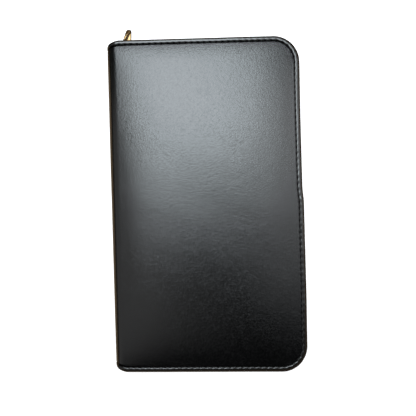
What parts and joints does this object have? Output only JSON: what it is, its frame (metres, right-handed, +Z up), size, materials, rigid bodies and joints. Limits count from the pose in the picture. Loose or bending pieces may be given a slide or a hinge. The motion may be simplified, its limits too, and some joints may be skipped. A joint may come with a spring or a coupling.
{
  "type": "travel document organizer",
  "caption": "Zip-around leather travel organizer with padded covers, folding spine, document, passport and card pockets, pen loop and a sliding zip pull.",
  "frame": {"origin": "middle of the underside of the back cover", "axes": "+Z up through the closed organizer to the front cover, +Y to the top edge where the zip closes, -X to the spine and +X to the fore edge"},
  "size_m": [0.132, 0.2434, 0.024],
  "materials": {
    "cover_leather": "semi-gloss pebbled black leather",
    "edge_leather": "satin black turned edge",
    "pocket_leather": "satin black leather",
    "foam": "soft padding",
    "board": "plain board",
    "lining": "woven dark lining",
    "zip_tape": "black woven tape",
    "elastic": "ribbed black elastic",
    "zip_metal": "antique brass teeth",
    "pull_metal": "polished warm brass"
  },
  "bodies": {
    "back": {"back_leather_cover": "cover_leather", "back_edge_binding": "edge_leather", "back_foam_pad": "foam", "back_stiffener_board": "board", "back_lining": "lining", "back_zip_tape": "zip_tape", "back_zip_teeth": "zip_metal", "back_zip_top_stop": "zip_metal", "back_zip_bottom_stop": "zip_metal", "document_pocket": "lining", "passport_pocket": "pocket_leather", "pen_loop": "elastic"},
    "spine": {"spine_leather": "cover_leather", "spine_stiffener": "board", "spine_lining": "lining"},
    "front": {"front_leather_cover": "cover_leather", "front_edge_binding": "edge_leather", "front_foam_pad": "foam", "front_stiffener_board": "board", "front_lining": "lining", "front_zip_tape": "zip_tape", "front_zip_teeth": "zip_metal", "front_zip_top_stop": "zip_metal", "front_zip_bottom_stop": "zip_metal", "ticket_pocket": "lining", "card_pocket_1": "pocket_leather", "card_pocket_2": "pocket_leather", "card_pocket_3": "pocket_leather", "card_pocket_4": "pocket_leather"},
    "slider": {"slider_body": "zip_metal"},
    "link": {"pull_link": "zip_metal"},
    "pull": {"pull_tab": "pull_metal"}
  },
  "joints": [
    {"name": "spine_fold", "type": "hinge", "parent": "back", "child": "spine", "pos_m": [-0.064, 0, 0.002], "axis": [0, -1, 0], "range_deg": [0, 90]},
    {"name": "cover_fold", "type": "hinge", "parent": "spine", "child": "front", "pos_m": [-0.064, 0, 0.022], "axis": [0, -1, 0], "range_deg": [0, 90]},
    {"name": "slider_run", "type": "slide", "parent": "back", "child": "slider", "axis": [1, 0, 0], "range_m": [0, 0.095]},
    {"name": "link_swing", "type": "hinge", "parent": "slider", "child": "link", "pos_m": [-0.0553, 0.11225, 0.012], "axis": [1, 0, 0], "range_deg": [0, 70]},
    {"name": "pull_swing", "type": "hinge", "parent": "link", "child": "pull", "pos_m": [-0.0553, 0.11225, 0.0097], "axis": [1, 0, 0], "range_deg": [-15, 36]}
  ]
}
